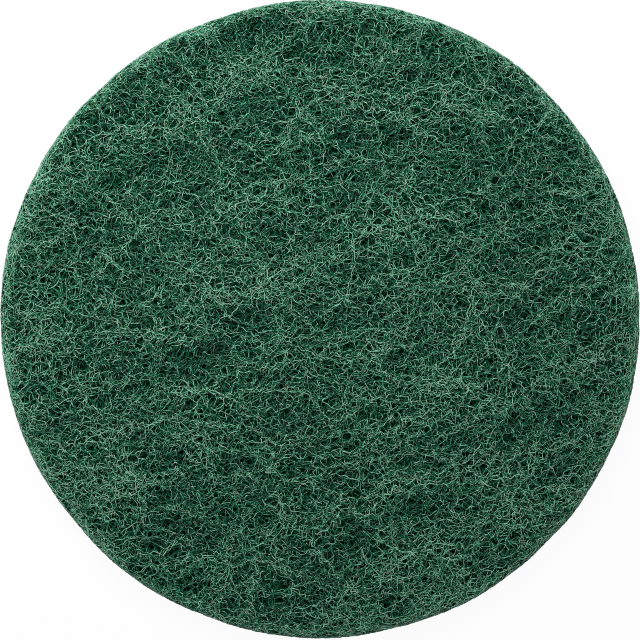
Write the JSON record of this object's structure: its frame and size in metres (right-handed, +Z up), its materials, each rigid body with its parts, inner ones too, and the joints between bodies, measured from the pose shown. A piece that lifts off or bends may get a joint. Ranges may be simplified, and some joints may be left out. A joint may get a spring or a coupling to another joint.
{
  "type": "abrasive fleece disc",
  "caption": "Round of lofty green nonwoven abrasive web with an open, hollowed surface and a crushed, rounded die-cut edge, for a hook-and-loop sanding pad.",
  "frame": {"origin": "middle of the underside, on the surface that the disc lies on", "axes": "+Z up out of the working face, along the disc's axis; the strands run mostly 18 degrees from +X towards +Y"},
  "size_m": [0.1502, 0.15, 0.01],
  "materials": {
    "green_web": "crimped nylon strands bonded with green resin and fine grit, satin on the strands and dark in the hollows"
  },
  "bodies": {
    "root": {"fleece_disc": "green_web"}
  },
  "joints": []
}
